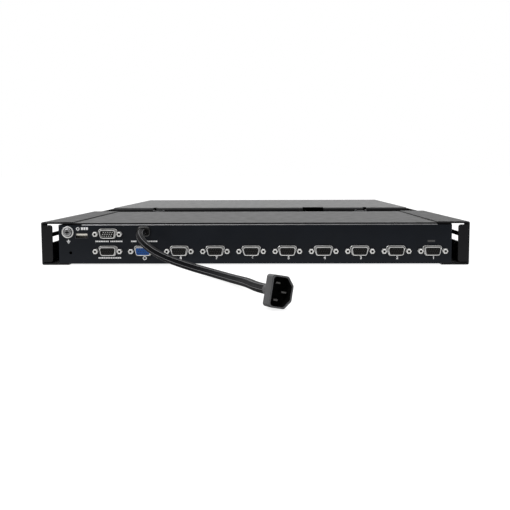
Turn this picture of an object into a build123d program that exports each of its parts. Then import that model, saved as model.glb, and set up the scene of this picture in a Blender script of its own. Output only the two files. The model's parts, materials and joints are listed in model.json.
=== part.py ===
from build123d import *
import math
import os

# Rack console drawer, one rack unit high: an eight-port KVM module at the back, and a drawer with a
# keyboard and a folding screen in front of it. Millimetres. +Y is the port side, -Y the operator's
# side, +Z up. The origin is the centre of the footprint, on the surface that the rails stand on.

# ---- driving dimensions -------------------------------------------------------------------------
WIDTH = 440.0  # over the side rails
HALF_DEPTH = 343.0  # from the origin to the jackscrew tips and to the handle
RAIL_TOP = 43.4
RAIL_FRONT_TOP = 42.4  # beside the drawer
RAIL_REAR_TOP = 44.4  # the rails' taller rear part, beside the module
LID_TOP = 44.4
PANEL_Y = 337.5  # outer face of the port panel
MODULE_DEPTH = 236.0
LID_REAR_Y = 2.5
DRAWER_TRAVEL = 400.0

RAIL_T = 2.0
PANEL_T = 1.5
PANEL_DROP = 0.8  # how far the panel hangs below the module's floor, between the feet
SHEET_T = 1.2
BOARD_T = 1.6

RAIL_FRONT_Y = -335.0
RAIL_TOP_FLANGE = 33.0
RAIL_BEND_R = 1.8
RAIL_FOOT = 28.0
RAIL_NARROW_FOOT = 13.0  # its width under the drawer
RAIL_REAR_FLANGE = 11.3
RAIL_REAR_FLANGE_Z = (3.0, 41.2)
RAIL_SLOT_HEIGHTS = ((20.3, 26.8), (31.0, 41.8))
RAIL_SLOT_START, RAIL_SLOT_END = 80.0, 16.0  # in front of the port panel's face
BRACKET_HOLE_R = 2.2
BRACKET_HOLE_Z = 34.5
BRACKET_HOLES_Y = (-320.0, -280.0, 200.0, 240.0)
MODULE_HALF = 202.0
MODULE_FRONT_Y = PANEL_Y - MODULE_DEPTH
VENT_COUNT, VENT_PITCH, VENT_W, VENT_H = 12, 9.0, 4.0, 14.0
VENT_FIRST_Y, VENT_Z = MODULE_FRONT_Y + 50.0, 30.0
COVER_SCREW_X = (-150, -50, 50, 150)
COVER_SCREW_Z = RAIL_TOP - 7.0

SLIDE_LENGTH_OUTER = 485.0
SLIDE_LENGTH_MIDDLE = 420.0
SLIDE_LENGTH_INNER = 395.0

LID_HALF = 214.0
LID_BOTTOM = 27.9
LID_REAR_RADIUS = 3.2
LID_CABLE_NOTCH = (-93.0, -63.0)  # where the screen's cable leaves the lid
LID_NOTCH_DEPTH = 15.0
LID_SPLIT = 33.0  # where the back cover meets the bezel
HINGE_Y = 9.5
HINGE_Z = 36.0
HINGE_X = 146.0
HINGE_PIN_R = 3.0

TRAY_HALF = 203.0
TRAY_FLOOR = 3.0
TRAY_REAR_Y = 30.0
DECK_TOP = 20.5
HANDLE_BACK_Y = -335.3
HANDLE_TOP = 27.1
HANDLE_END_TOP = 41.0
RELEASE_X = 190.0

PORT_PITCH = 37.1
PORT_COUNT = 8
PORT_FIRST_X = 77.3
PORT_ROW_Z = 14.2
UPPER_ROW_Z = 32.0
CHAIN_X = 151.0
MONITOR_X = 114.4
JACKSCREW_SPACING = 24.99
SHELL_W, SHELL_H = 16.9, 8.4  # outside of a fifteen-pin D shell
SHELL_OUT = 5.9  # its length in front of its own flange
CUTOUT_W, CUTOUT_H = 18.4, 11.4

USB_X, USB_Z = 178.0, 30.4
GROUND_X, GROUND_Z = 192.4, 34.0
SMALL_HOLE_X, SMALL_HOLE_Z = 189.9, 12.6

CORD_D = 7.8
BUSHING_X, BUSHING_Z = 113.8, 34.5
BUSHING_W, BUSHING_H, BUSHING_OUT = 13.6, 10.6, 2.5
CORD_EXIT_X, CORD_EXIT_Z = 115.4, 34.0  # the cord leaves the bushing a little off its middle

PLUG_LONG, PLUG_SHORT = 22.8, 16.2
PLUG_BODY_LENGTH = 18.0
PLUG_BACK_LENGTH = 6.0  # the part of the body that slopes in towards the neck
PLUG_BACK_TAPER = 26.0  # degrees
PLUG_NECK_LENGTH = 10.0
PLUG_CAVITY_DEPTH = 11.0
PLUG_WALL = 1.2
PLUG_CUT_SHORT, PLUG_CUT_LONG = 4.6, 6.0  # the two cut corners of its outline
PLUG_YAW, PLUG_PITCH, PLUG_ROLL = 20.0, 4.0, -11.0
PLUG_FACE = (-25.0, PANEL_Y + 268.5)  # centre of the plug's open face, seen from above

# The cord's route from the bushing to the plug's neck: x, distance in front of the port panel, z.
# Its last two points lie on the plug's axis and are worked out from the plug.
CORD_ROUTE = [
    (115.1, 15.0, 33.8),
    (113.0, 29.0, 31.2),
    (107.4, 41.0, 26.2),
    (97.5, 52.0, 19.6),
    (84.5, 62.0, 13.3),
    (68.5, 72.5, 8.6),
    (52.0, 84.0, 5.6),
    (37.5, 98.5, 4.3),
    (25.5, 117.5, 4.1),
    (15.5, 141.0, 4.7),
    (7.0, 168.0, 6.2),
    (0.0, 197.0, 8.4),
]

KEY_PITCH_X, KEY_PITCH_Y = 16.6, 18.2
KEY_GAP = 1.8
KEY_BOTTOM, KEY_TOP = 18.8, 26.2
KEYBOARD_REAR_Y = -22.0
KEYBOARD_HALF = 22.5 * KEY_PITCH_X / 2
KEY_ROWS = 6

TOUCHPAD_Y = -205.0
TOUCHPAD_W, TOUCHPAD_D = 100.0, 62.0

MAIN_BOARD_Z = 7.0
MAIN_BOARD_HOLES = [(x, y) for x in (-188, -60, 60, 188) for y in (192, 318)]
POWER_BOARD_HOLES = [(x, y) for x in (66, 188) for y in (112, 172)]

SCREEN_Y = -163.0
SCREEN_W, SCREEN_D = 338.0, 270.0  # seventeen-inch picture
SCREEN_MODULE_W, SCREEN_MODULE_D = 358.0, 296.0
OSD_BUTTON_Y = -327.0
OSD_BUTTON_X = [-30.0, -15.0, 0.0, 22.0]


# ---- helpers ------------------------------------------------------------------------------------
def block(x0, x1, y0, y1, z0, z1):
    """A box between two corners."""
    return Pos((x0 + x1) / 2, (y0 + y1) / 2, (z0 + z1) / 2) * Box(x1 - x0, y1 - y0, z1 - z0)


def rod(radius, start, end):
    """A round rod between two points."""
    a, b = Vector(*start), Vector(*end)
    plane = Plane(origin=a, z_dir=b - a)
    return extrude(plane * Circle(radius), (b - a).length)


def other_side(shape):
    """The same piece on the other side of the object."""
    return mirror(shape, Plane.YZ)


def group(solids):
    """Separate solids that are stored as one sub-part."""
    return Compound([s for shape in solids for s in shape.solids()])


def rear_face(x, y, z):
    """A sketch plane that faces the port side: its x is the object's -X and its y is up."""
    return Plane(origin=(x, y, z), x_dir=(-1, 0, 0), z_dir=(0, 1, 0))


def d_outline(width, height, radius=2.2):
    """The outline of a D shell: wide at the top, with sides that lean in by ten degrees."""
    lean = height * math.tan(math.radians(10))
    outline = make_face(
        Polyline(
            (-width / 2, height / 2),
            (width / 2, height / 2),
            (width / 2 - lean, -height / 2),
            (-width / 2 + lean, -height / 2),
            close=True,
        )
    )
    return fillet(outline.vertices(), radius)


def port_places():
    """The centres of the eight numbered ports."""
    return [(PORT_FIRST_X - PORT_PITCH * i, PORT_ROW_Z) for i in range(PORT_COUNT)]


def all_d_places():
    return port_places() + [
        (CHAIN_X, UPPER_ROW_Z),
        (CHAIN_X, PORT_ROW_Z),
        (MONITOR_X, PORT_ROW_Z),
    ]


# ---- chassis: side rails ------------------------------------------------------------------------
def rounded_outer_edges(section):
    """Bends of the sheet along the outer side."""
    edges = section.edges().filter_by(Axis.Y)
    return fillet([e for e in edges if e.center().X > WIDTH / 2 - 0.1], RAIL_BEND_R)


def side_rail():
    """A folded steel side rail, on the +X side: a web with a narrow foot beside the drawer, and beside
    the module a taller web with a foot, a top flange, a rear flange and bracket slots."""
    half = WIDTH / 2
    web_x = half - RAIL_T
    front = block(web_x, half, RAIL_FRONT_Y, MODULE_FRONT_Y, 0, RAIL_FRONT_TOP)
    front += block(half - RAIL_NARROW_FOOT, half, RAIL_FRONT_Y, MODULE_FRONT_Y, 0, RAIL_T)
    rear = block(web_x, half, MODULE_FRONT_Y, PANEL_Y, 0, RAIL_REAR_TOP)
    rear += block(half - RAIL_FOOT, half, MODULE_FRONT_Y, PANEL_Y, 0, RAIL_T)
    rear += block(
        half - RAIL_TOP_FLANGE, half, MODULE_FRONT_Y, PANEL_Y, RAIL_REAR_TOP - RAIL_T, RAIL_REAR_TOP
    )
    z0, z1 = RAIL_REAR_FLANGE_Z
    rear_flange = block(half - RAIL_REAR_FLANGE, web_x + 0.5, PANEL_Y - RAIL_T, PANEL_Y, z0, z1)
    inner = [e for e in rear_flange.edges().filter_by(Axis.Y) if e.center().X < web_x]
    rail = rounded_outer_edges(front) + rounded_outer_edges(rear) + fillet(inner, 2.5)
    for z0, z1 in RAIL_SLOT_HEIGHTS:
        rail -= block(half - 4, half + 1, PANEL_Y - RAIL_SLOT_START, PANEL_Y - RAIL_SLOT_END, z0, z1)
    for y in BRACKET_HOLES_Y:
        rail -= rod(BRACKET_HOLE_R, (half - 4, y, BRACKET_HOLE_Z), (half + 1, y, BRACKET_HOLE_Z))
    return rail


def front_tie_bar():
    """A flat bar under the drawer that ties the rails together at the front."""
    half = WIDTH / 2 - RAIL_NARROW_FOOT
    return block(-half, half, -310, -290, 0, RAIL_T)


def recess_floor():
    """The plate that closes the recess between the module and the drawer from below."""
    half = WIDTH / 2 - RAIL_FOOT
    return block(-half, half, 0, MODULE_FRONT_Y + 36, 0, RAIL_T)


# ---- chassis: telescopic slides -----------------------------------------------------------------
def channel(x_web, x_tip, z0, z1, length):
    """A channel on the +X side whose web stands at x_web and whose flanges end at x_tip."""
    inward = 1 if x_tip > x_web else -1
    web_in = x_web + inward * SHEET_T
    y1 = RAIL_FRONT_Y + length
    web = block(min(x_web, web_in), max(x_web, web_in), RAIL_FRONT_Y, y1, z0, z1)
    low = block(min(x_web, x_tip), max(x_web, x_tip), RAIL_FRONT_Y, y1, z0, z0 + SHEET_T)
    high = block(min(x_web, x_tip), max(x_web, x_tip), RAIL_FRONT_Y, y1, z1 - SHEET_T, z1)
    return web + low + high


def outer_slide():
    return channel(WIDTH / 2 - RAIL_T, 206.5, 5.0, 26.0, SLIDE_LENGTH_OUTER)


def middle_slide():
    return channel(215.4, 205.0, 7.0, 24.0, SLIDE_LENGTH_MIDDLE)


def inner_slide():
    return channel(TRAY_HALF, 212.0, 9.0, 22.0, SLIDE_LENGTH_INNER)


# ---- chassis: KVM module ------------------------------------------------------------------------
def module_base_pan():
    """Floor, side walls and front wall of the module, standing on the rails' feet."""
    z0, z1 = RAIL_T, RAIL_TOP - RAIL_T
    back = PANEL_Y - PANEL_T
    pan = block(-MODULE_HALF, MODULE_HALF, MODULE_FRONT_Y, back, z0, z1)
    inner = MODULE_HALF - SHEET_T
    pan -= block(-inner, inner, MODULE_FRONT_Y + SHEET_T, back + 1, z0 + SHEET_T, z1 + 1)
    for side in (-1, 1):
        for i in range(VENT_COUNT):
            x = side * (MODULE_HALF - SHEET_T / 2)
            pan -= Pos(x, VENT_FIRST_Y + i * VENT_PITCH, VENT_Z) * Box(4 * SHEET_T, VENT_W, VENT_H)
    return pan - cover_screw_holes()


def rear_panel():
    """The port panel, with D cut-outs, jackscrew holes and a lip along its top."""
    z0, z1 = RAIL_T, RAIL_TOP - RAIL_T
    inner = PANEL_Y - PANEL_T
    panel = block(-MODULE_HALF, MODULE_HALF, inner, PANEL_Y, z0, z1 - 0.2)
    panel += block(-185, 185, inner - 10, inner, z1 - 0.2 - SHEET_T, z1 - 0.2)
    between_feet = WIDTH / 2 - RAIL_FOOT - 1
    panel += block(-between_feet, between_feet, inner, PANEL_Y, z0 - PANEL_DROP, z0)
    for x, z in all_d_places():
        panel -= extrude(rear_face(x, inner - 1, z) * d_outline(CUTOUT_W, CUTOUT_H), PANEL_T + 2)
        for side in (-1, 1):
            cx = x + side * JACKSCREW_SPACING / 2
            panel -= rod(1.7, (cx, inner - 1, z), (cx, PANEL_Y + 1, z))
    panel -= block(USB_X - 6.8, USB_X + 6.8, inner - 1, PANEL_Y + 1, USB_Z - 3.2, USB_Z + 3.2)
    panel -= rod(2.0, (GROUND_X, inner - 1, GROUND_Z), (GROUND_X, PANEL_Y + 1, GROUND_Z))
    panel -= rod(1.6, (SMALL_HOLE_X, inner - 1, SMALL_HOLE_Z), (SMALL_HOLE_X, PANEL_Y + 1, SMALL_HOLE_Z))
    panel -= extrude(
        rear_face(BUSHING_X, inner - 1, BUSHING_Z) * RectangleRounded(BUSHING_W - 2, BUSHING_H - 2, 3),
        PANEL_T + 2,
    )
    return panel


def module_top_cover():
    """The lift-off cover between the rails' top flanges, folded down at its front edge."""
    half = WIDTH / 2 - RAIL_TOP_FLANGE - 0.3
    z1 = RAIL_TOP
    cover = block(-half, half, MODULE_FRONT_Y, PANEL_Y - 0.6, z1 - 1.4, z1)
    lip = block(-half, half, MODULE_FRONT_Y - SHEET_T, MODULE_FRONT_Y, z1 - 12, z1)
    cover = cover + lip
    return cover - cover_screw_holes()


def cover_screw_holes():
    """The holes for the cover's screws, through its front lip and the base pan's front wall."""
    y0, y1 = MODULE_FRONT_Y - SHEET_T - 1, MODULE_FRONT_Y + SHEET_T + 1
    return group([rod(1.7, (x, y0, COVER_SCREW_Z), (x, y1, COVER_SCREW_Z)) for x in COVER_SCREW_X])


def cover_screws():
    """Low pan-head screws with cross recesses, in the cover's front lip."""
    lip = MODULE_FRONT_Y - SHEET_T
    screws = []
    for x in COVER_SCREW_X:
        shank = rod(1.5, (x, lip, COVER_SCREW_Z), (x, lip + 6, COVER_SCREW_Z))
        head = rod(3.0, (x, lip - 0.6, COVER_SCREW_Z), (x, lip, COVER_SCREW_Z))
        slot = Pos(x, lip - 0.6, COVER_SCREW_Z) * Box(3.4, 0.6, 0.7)
        slot += Pos(x, lip - 0.6, COVER_SCREW_Z) * Box(0.7, 0.6, 3.4)
        screws.append(shank + head - slot)
    return group(screws)


def d_shell(x, z):
    """A stamped steel shell: a flange behind the panel and a D tube that stands out of it."""
    back = PANEL_Y - PANEL_T - 0.8
    flange = Pos(x, back + 0.4, z) * Box(30.8, 0.8, 12.5)
    tube = extrude(rear_face(x, back, z) * d_outline(SHELL_W, SHELL_H), 0.8 + SHELL_OUT)
    bore = extrude(rear_face(x, back - 1, z) * d_outline(SHELL_W - 1.0, SHELL_H - 1.0, 1.8), SHELL_OUT + 4)
    shell = flange + tube - bore
    for side in (-1, 1):
        cx = x + side * JACKSCREW_SPACING / 2
        shell -= rod(1.55, (cx, back - 1, z), (cx, back + 2, z))
    return shell


def d_contact_places(x, z):
    """Three staggered rows of five contacts."""
    return [
        (x + (i - 2) * 2.29 + (row - 1) * 0.76, z + (1 - row) * 1.98)
        for row in range(3)
        for i in range(5)
    ]


def d_insert(x, z, face_depth):
    """The moulded insert of a D connector; its face stands face_depth behind the shell's rim."""
    back = PANEL_Y - PANEL_T - 0.8
    body = Pos(x, back - 4.5, z) * Box(25.0, 9.0, 11.0)
    for side in (-1, 1):
        cx = x + side * JACKSCREW_SPACING / 2
        body -= rod(2.4, (cx, back - 10, z), (cx, back + 1, z))
    nose = rear_face(x, back - 1, z) * d_outline(SHELL_W - 1.3, SHELL_H - 1.3, 1.6)
    return body + extrude(nose, 1.8 + SHELL_OUT - face_depth)


def female_insert(x, z):
    """An insert with fifteen contact holes."""
    insert = d_insert(x, z, 0.4)
    rim = PANEL_Y - PANEL_T + SHELL_OUT
    for cx, cz in d_contact_places(x, z):
        insert -= rod(0.55, (cx, rim - 3, cz), (cx, rim, cz))
    return insert


def male_insert(x, z):
    """A recessed insert with fifteen pins."""
    depth = 4.6
    insert = d_insert(x, z, depth)
    face = PANEL_Y - PANEL_T + SHELL_OUT - depth
    for cx, cz in d_contact_places(x, z):
        insert += rod(0.42, (cx, face - 0.5, cz), (cx, face + 3.8, cz))
    return insert


def jackscrew(x, z):
    """A hexagonal jackscrew with a threaded mouth and a stud through the panel and the shell."""
    plane = rear_face(x, PANEL_Y, z)
    length = HALF_DEPTH - PANEL_Y
    screw = extrude(plane * RegularPolygon(2.75, 6), length)
    screw = chamfer(screw.faces().sort_by(Axis.Y)[-1].edges(), 0.35)
    screw -= rod(1.25, (x, PANEL_Y + 0.8, z), (x, PANEL_Y + length + 1, z))
    return screw + rod(1.4, (x, PANEL_Y - 7, z), (x, PANEL_Y, z))


def port_jackscrews():
    screws = []
    for x, z in all_d_places():
        for side in (-1, 1):
            screws.append(jackscrew(x + side * JACKSCREW_SPACING / 2, z))
    return group(screws)


def usb_port_shell():
    """A folded shell of a flat USB socket."""
    shell = block(USB_X - 6.6, USB_X + 6.6, PANEL_Y - 14, PANEL_Y + 0.6, USB_Z - 2.85, USB_Z + 2.85)
    shell -= block(USB_X - 6.2, USB_X + 6.2, PANEL_Y - 13.5, PANEL_Y + 1, USB_Z - 2.45, USB_Z + 2.45)
    return shell


def usb_port_tongue():
    """The back and the contact tongue of the USB socket."""
    back = PANEL_Y - 13.5
    tongue = block(USB_X - 6.2, USB_X + 6.2, back, back + 3, USB_Z - 2.45, USB_Z + 2.45)
    tongue += block(USB_X - 5.6, USB_X + 5.6, back + 3, PANEL_Y - 0.6, USB_Z + 0.2, USB_Z + 2.1)
    return tongue


def ground_screw():
    """A pan-head earth screw with a cross recess and its washer."""
    washer = rod(6.2, (GROUND_X, PANEL_Y, GROUND_Z), (GROUND_X, PANEL_Y + 1.0, GROUND_Z))
    washer -= rod(2.1, (GROUND_X, PANEL_Y - 1, GROUND_Z), (GROUND_X, PANEL_Y + 2, GROUND_Z))
    head = rod(4.3, (GROUND_X, PANEL_Y + 1.0, GROUND_Z), (GROUND_X, PANEL_Y + 3.4, GROUND_Z))
    head = fillet(head.faces().sort_by(Axis.Y)[-1].edges(), 1.2)
    for w, h in ((4.6, 1.1), (1.1, 4.6)):
        head -= Pos(GROUND_X, PANEL_Y + 3.4, GROUND_Z) * Box(w, 2.4, h)
    shank = rod(1.9, (GROUND_X, PANEL_Y - 8, GROUND_Z), (GROUND_X, PANEL_Y + 1.0, GROUND_Z))
    return group([washer, head + shank])


def board(x0, x1, y0, y1, z0, holes):
    """A printed circuit board with its fixing holes."""
    plate = block(x0, x1, y0, y1, z0, z0 + BOARD_T)
    for x, y in holes:
        plate -= rod(1.7, (x, y, z0 - 1), (x, y, z0 + BOARD_T + 1))
    return plate


def main_board():
    return board(-196, 196, 184, 326.0, MAIN_BOARD_Z, MAIN_BOARD_HOLES)


def chain_board():
    """A small upper board behind the stacked chain connector, on two pillars."""
    plate = board(134, 198, 296, 326.0, 24.5, [(138, 300), (194, 300)])
    for x in (138, 194):
        pillar = rod(2.6, (x, 300, MAIN_BOARD_Z + BOARD_T), (x, 300, 24.5))
        plate += pillar
    return plate


def power_supply_board():
    return board(60, 194, 106, 178, MAIN_BOARD_Z, POWER_BOARD_HOLES)


def board_components():
    """The larger parts on the boards: chips, heat sinks, a transformer and capacitors."""
    top = MAIN_BOARD_Z + BOARD_T
    parts = []
    for x, y, w, d, h in (
        (-120, 240, 28, 28, 3),
        (-20, 240, 34, 34, 10),
        (60, 240, 28, 28, 3),
        (110, 135, 34, 30, 22),
        (158, 140, 20, 44, 18),
    ):
        parts.append(block(x - w / 2, x + w / 2, y - d / 2, y + d / 2, top, top + h))
    for x, y in ((78, 128), (78, 144), (180, 130)):
        parts.append(rod(6.5, (x, y, top), (x, y, top + 20)))
    return group(parts)


def board_standoffs():
    """Hexagonal pillars under the boards."""
    floor = RAIL_T + SHEET_T
    pillars = []
    for x, y in MAIN_BOARD_HOLES + POWER_BOARD_HOLES:
        pillar = extrude(Plane(origin=(x, y, floor)) * RegularPolygon(3.2, 6), MAIN_BOARD_Z - floor)
        pillars.append(pillar + rod(1.5, (x, y, MAIN_BOARD_Z), (x, y, MAIN_BOARD_Z + 3)))
    return group(pillars)


def cord_bushing():
    """A moulded strain-relief bushing: a flange outside the panel and a tapered sleeve inside."""
    plane = rear_face(BUSHING_X, PANEL_Y, BUSHING_Z)
    flange = extrude(plane * RectangleRounded(BUSHING_W, BUSHING_H, 3.6), BUSHING_OUT)
    flange = fillet(flange.faces().sort_by(Axis.Y)[-1].edges(), 1.0)
    neck = extrude(plane * RectangleRounded(BUSHING_W - 2.4, BUSHING_H - 2.4, 2.8), -PANEL_T)
    inner = PANEL_Y - PANEL_T
    sleeve = Solid.make_cone(
        4.0, 3.6, 18, Plane(origin=(BUSHING_X, inner, BUSHING_Z), z_dir=(0, -1, 0))
    )
    return flange + neck + sleeve


# ---- cord and plug ------------------------------------------------------------------------------
def plug_outline(inset=0.0):
    """The plug's outline, seen from its open face: two corners cut on the earth pin's side."""
    a, b = PLUG_SHORT / 2 - inset, PLUG_LONG / 2 - inset
    cut_a, cut_b = PLUG_CUT_SHORT - inset * 0.4, PLUG_CUT_LONG - inset * 0.4
    face = make_face(
        Polyline(
            (-a, -b), (a - cut_a, -b), (a, -b + cut_b), (a, b - cut_b), (a - cut_a, b), (-a, b), close=True
        )
    )
    return fillet(face.vertices(), 2.2)


def plug_parts():
    """The plug's body and its three blades, around the origin, with the open face at y = 0."""
    face = Plane(origin=(0, 0, 0), x_dir=(-1, 0, 0), z_dir=(0, 1, 0))
    straight = PLUG_BODY_LENGTH - PLUG_BACK_LENGTH
    body = extrude(face * plug_outline(), -straight)
    back = Plane(origin=(0, -straight, 0), x_dir=(1, 0, 0), z_dir=(0, -1, 0))
    body += extrude(back * mirror(plug_outline(), Plane.YZ), PLUG_BACK_LENGTH, taper=PLUG_BACK_TAPER)
    body -= extrude(face * plug_outline(PLUG_WALL), -PLUG_CAVITY_DEPTH)
    neck = Solid.make_cone(
        6.0,
        CORD_D / 2 + 0.5,
        PLUG_NECK_LENGTH,
        Plane(origin=(0, -PLUG_BODY_LENGTH, 0), z_dir=(0, -1, 0)),
    )
    pins = []
    for x, z in ((2.0, 6.0), (2.0, -6.0), (-3.4, 0.0)):
        blade = block(x - 2.0, x + 2.0, -PLUG_CAVITY_DEPTH, -4.2, z - 1.0, z + 1.0)
        pins.append(chamfer(blade.faces().sort_by(Axis.Y)[-1].edges(), 0.5))
    return body + neck, group(pins)


def plug_place():
    """Where the plug lies: turned and rolled, with its lowest edge on the surface."""
    turn = Rot(0, 0, PLUG_YAW) * Rot(PLUG_PITCH, 0, 0) * Rot(0, PLUG_ROLL, 0)
    body, _ = plug_parts()
    low = (turn * body).bounding_box().min.Z
    return Pos(PLUG_FACE[0], PLUG_FACE[1], -low) * turn


def cord_points():
    """The cord's whole route: out of the bushing, along CORD_ROUTE and into the plug's neck."""
    place = plug_place()
    end = (place * Pos(0, -PLUG_BODY_LENGTH - PLUG_NECK_LENGTH, 0)).position
    before = (place * Pos(0, -PLUG_BODY_LENGTH - PLUG_NECK_LENGTH - 22, 0)).position
    start = (CORD_EXIT_X, PANEL_Y + BUSHING_OUT, CORD_EXIT_Z)
    middle = [(x, PANEL_Y + out, z) for x, out, z in CORD_ROUTE]
    return [Vector(*p) for p in [start] + middle + [tuple(before), tuple(end)]]


def cord_radii(points):
    """Arcs as large as each corner's two runs allow."""
    radii = []
    for a, b, c in zip(points, points[1:], points[2:]):
        turn = math.radians((b - a).get_angle(c - b))
        radii.append(0.45 * min((b - a).length, (c - b).length) / math.tan(turn / 2))
    return radii


def power_cord():
    """The free mains cord, a round tube on straight runs joined by tangent arcs."""
    points = cord_points()
    radii = cord_radii(points)
    path = FilletPolyline(*points, radius=radii)
    section = Plane(origin=points[0], z_dir=points[1] - points[0]) * Circle(CORD_D / 2)
    tube = sweep(section, path=path)
    share = tube.volume / (math.pi * (CORD_D / 2) ** 2 * path.length)
    print("cord route", [tuple(round(v, 2) for v in tuple(p)) for p in points])
    print("cord radii", [round(r, 1) for r in radii], "length", round(path.length, 1))
    print("cord volume over section times length", round(share, 4), "lowest", tube.bounding_box().min.Z)
    return tube


# ---- drawer -------------------------------------------------------------------------------------
def keyboard_tray():
    """A folded tray with side walls and low front and rear walls."""
    z0, z1 = TRAY_FLOOR, DECK_TOP - SHEET_T
    tray = block(-TRAY_HALF, TRAY_HALF, HANDLE_BACK_Y, TRAY_REAR_Y, z0, z1)
    tray -= block(
        -TRAY_HALF + SHEET_T,
        TRAY_HALF - SHEET_T,
        HANDLE_BACK_Y + SHEET_T,
        TRAY_REAR_Y - SHEET_T,
        z0 + SHEET_T,
        z1 + 1,
    )
    return tray


def key_rows():
    """Each row's keys as (left edge, width) in key pitches from the keyboard's left end."""
    def run(start, widths):
        keys = []
        for width in widths:
            keys.append((start, width))
            start += width
        return keys

    nav, pad = 15.25, 18.5
    return [
        run(0, [1]) + run(2, [1] * 4) + run(6.5, [1] * 4) + run(11, [1] * 4) + run(nav, [1] * 3),
        run(0, [1] * 13 + [2]) + run(nav, [1] * 3) + run(pad, [1] * 4),
        run(0, [1.5] + [1] * 12 + [1.5]) + run(nav, [1] * 3) + run(pad, [1] * 4),
        run(0, [1.75] + [1] * 11 + [2.25]) + run(pad, [1] * 4),
        run(0, [2.25] + [1] * 10 + [2.75]) + run(nav + 1, [1]) + run(pad, [1] * 4),
        run(0, [1.25, 1.25, 1.25, 6.25, 1.25, 1.25, 1.25, 1.25]) + run(nav, [1] * 3) + run(pad, [2, 1, 1]),
    ]


def keycap(left, width, row):
    """A tapered keycap; the operator sits at -Y, so the keyboard's left end is at -X."""
    w = width * KEY_PITCH_X - KEY_GAP
    d = KEY_PITCH_Y - KEY_GAP
    x = -KEYBOARD_HALF + (left + width / 2) * KEY_PITCH_X
    y = KEYBOARD_REAR_Y - (row + 0.5) * KEY_PITCH_Y
    return extrude(Plane(origin=(x, y, KEY_BOTTOM)) * Rectangle(w, d), KEY_TOP - KEY_BOTTOM, taper=14)


def key_row(row):
    return group([keycap(left, width, row) for left, width in key_rows()[row]])


def keyboard_deck():
    """The top plate of the drawer, with a well for the keys and openings for the touchpad."""
    z0 = DECK_TOP - SHEET_T
    deck = block(-TRAY_HALF, TRAY_HALF, HANDLE_BACK_Y, -4, z0, DECK_TOP)
    well_half = KEYBOARD_HALF + 1.5
    front = KEYBOARD_REAR_Y - KEY_ROWS * KEY_PITCH_Y - 1.5
    deck -= block(-well_half, well_half, front, KEYBOARD_REAR_Y + 1.5, z0 - 1, DECK_TOP + 1)
    deck -= touchpad_space(0.3)
    for side in (-1, 1):
        deck -= touchpad_button_space(side, 0.35)
    return deck


def touchpad_space(gap):
    half_w, half_d = TOUCHPAD_W / 2 + gap, TOUCHPAD_D / 2 + gap
    return block(-half_w, half_w, TOUCHPAD_Y - half_d, TOUCHPAD_Y + half_d, 12, DECK_TOP + 3)


def touchpad_button_space(side, gap):
    """The room of one touchpad button, below the touchpad."""
    x0, x1 = 0.6, TOUCHPAD_W / 2
    y1 = TOUCHPAD_Y - TOUCHPAD_D / 2 - 4
    y0 = y1 - 16
    low, high = (x0, x1) if side > 0 else (-x1, -x0)
    return block(low - gap, high + gap, y0 - gap, y1 + gap, 12, DECK_TOP + 3)


def keyboard_base():
    """The keyboard's contact board on a low frame."""
    half = KEYBOARD_HALF + 4
    front = KEYBOARD_REAR_Y - KEY_ROWS * KEY_PITCH_Y - 4
    rear = KEYBOARD_REAR_Y + 4
    z0 = TRAY_FLOOR + SHEET_T
    base = block(-half, half, front, rear, z0, 15)
    base -= block(-half + 3, half - 3, front + 3, rear - 3, z0 - 1, 13)
    return base


def touchpad():
    """The touch surface on its board and four feet."""
    half_w, half_d = TOUCHPAD_W / 2, TOUCHPAD_D / 2
    pad = block(-half_w, half_w, TOUCHPAD_Y - half_d, TOUCHPAD_Y + half_d, 17.0, DECK_TOP + 0.2)
    pad = fillet(pad.edges().filter_by(Axis.Z), 3.0)
    for x in (-half_w + 8, half_w - 8):
        for y in (TOUCHPAD_Y - half_d + 8, TOUCHPAD_Y + half_d - 8):
            pad += rod(3, (x, y, TRAY_FLOOR + SHEET_T), (x, y, 17.0))
    return pad


def touchpad_button(side):
    """One click button, free to go down between the deck's edges."""
    room = touchpad_button_space(side, 0).bounding_box()
    button = block(room.min.X, room.max.X, room.min.Y, room.max.Y, 16.4, DECK_TOP + 0.5)
    return fillet(button.faces().sort_by(Axis.Z)[-1].edges(), 0.6)


def front_handle():
    """The drawer's front bar, with a finger groove, release slots and end blocks."""
    half = WIDTH / 2
    front = -HALF_DEPTH
    bar = block(-half, half, front, HANDLE_BACK_Y, 4, HANDLE_TOP)
    groove = block(-150, 150, front - 1, front + 5, 3, 11)
    bar -= groove
    for side in (-1, 1):
        low, high = (LID_HALF + 0.6, half) if side > 0 else (-half, -LID_HALF - 0.6)
        bar += block(low, high, front, HANDLE_BACK_Y, HANDLE_TOP - 1, HANDLE_END_TOP)
        cx = side * RELEASE_X
        bar -= block(cx - 12.4, cx + 12.4, front - 1, front + 5.4, 11.6, 20.4)
    return bar


def release_button(side):
    """A grooved thumb slide that frees the drawer; it sits at the outer end of its slot."""
    cx = side * (RELEASE_X + 3.0)
    front = -HALF_DEPTH
    button = block(cx - 9, cx + 9, front + 0.4, front + 5.0, 12.0, 20.0)
    for i in range(5):
        button -= Pos(cx - 5 + i * 2.5, front + 0.4, 16) * Box(1.0, 1.6, 6)
    return button


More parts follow.
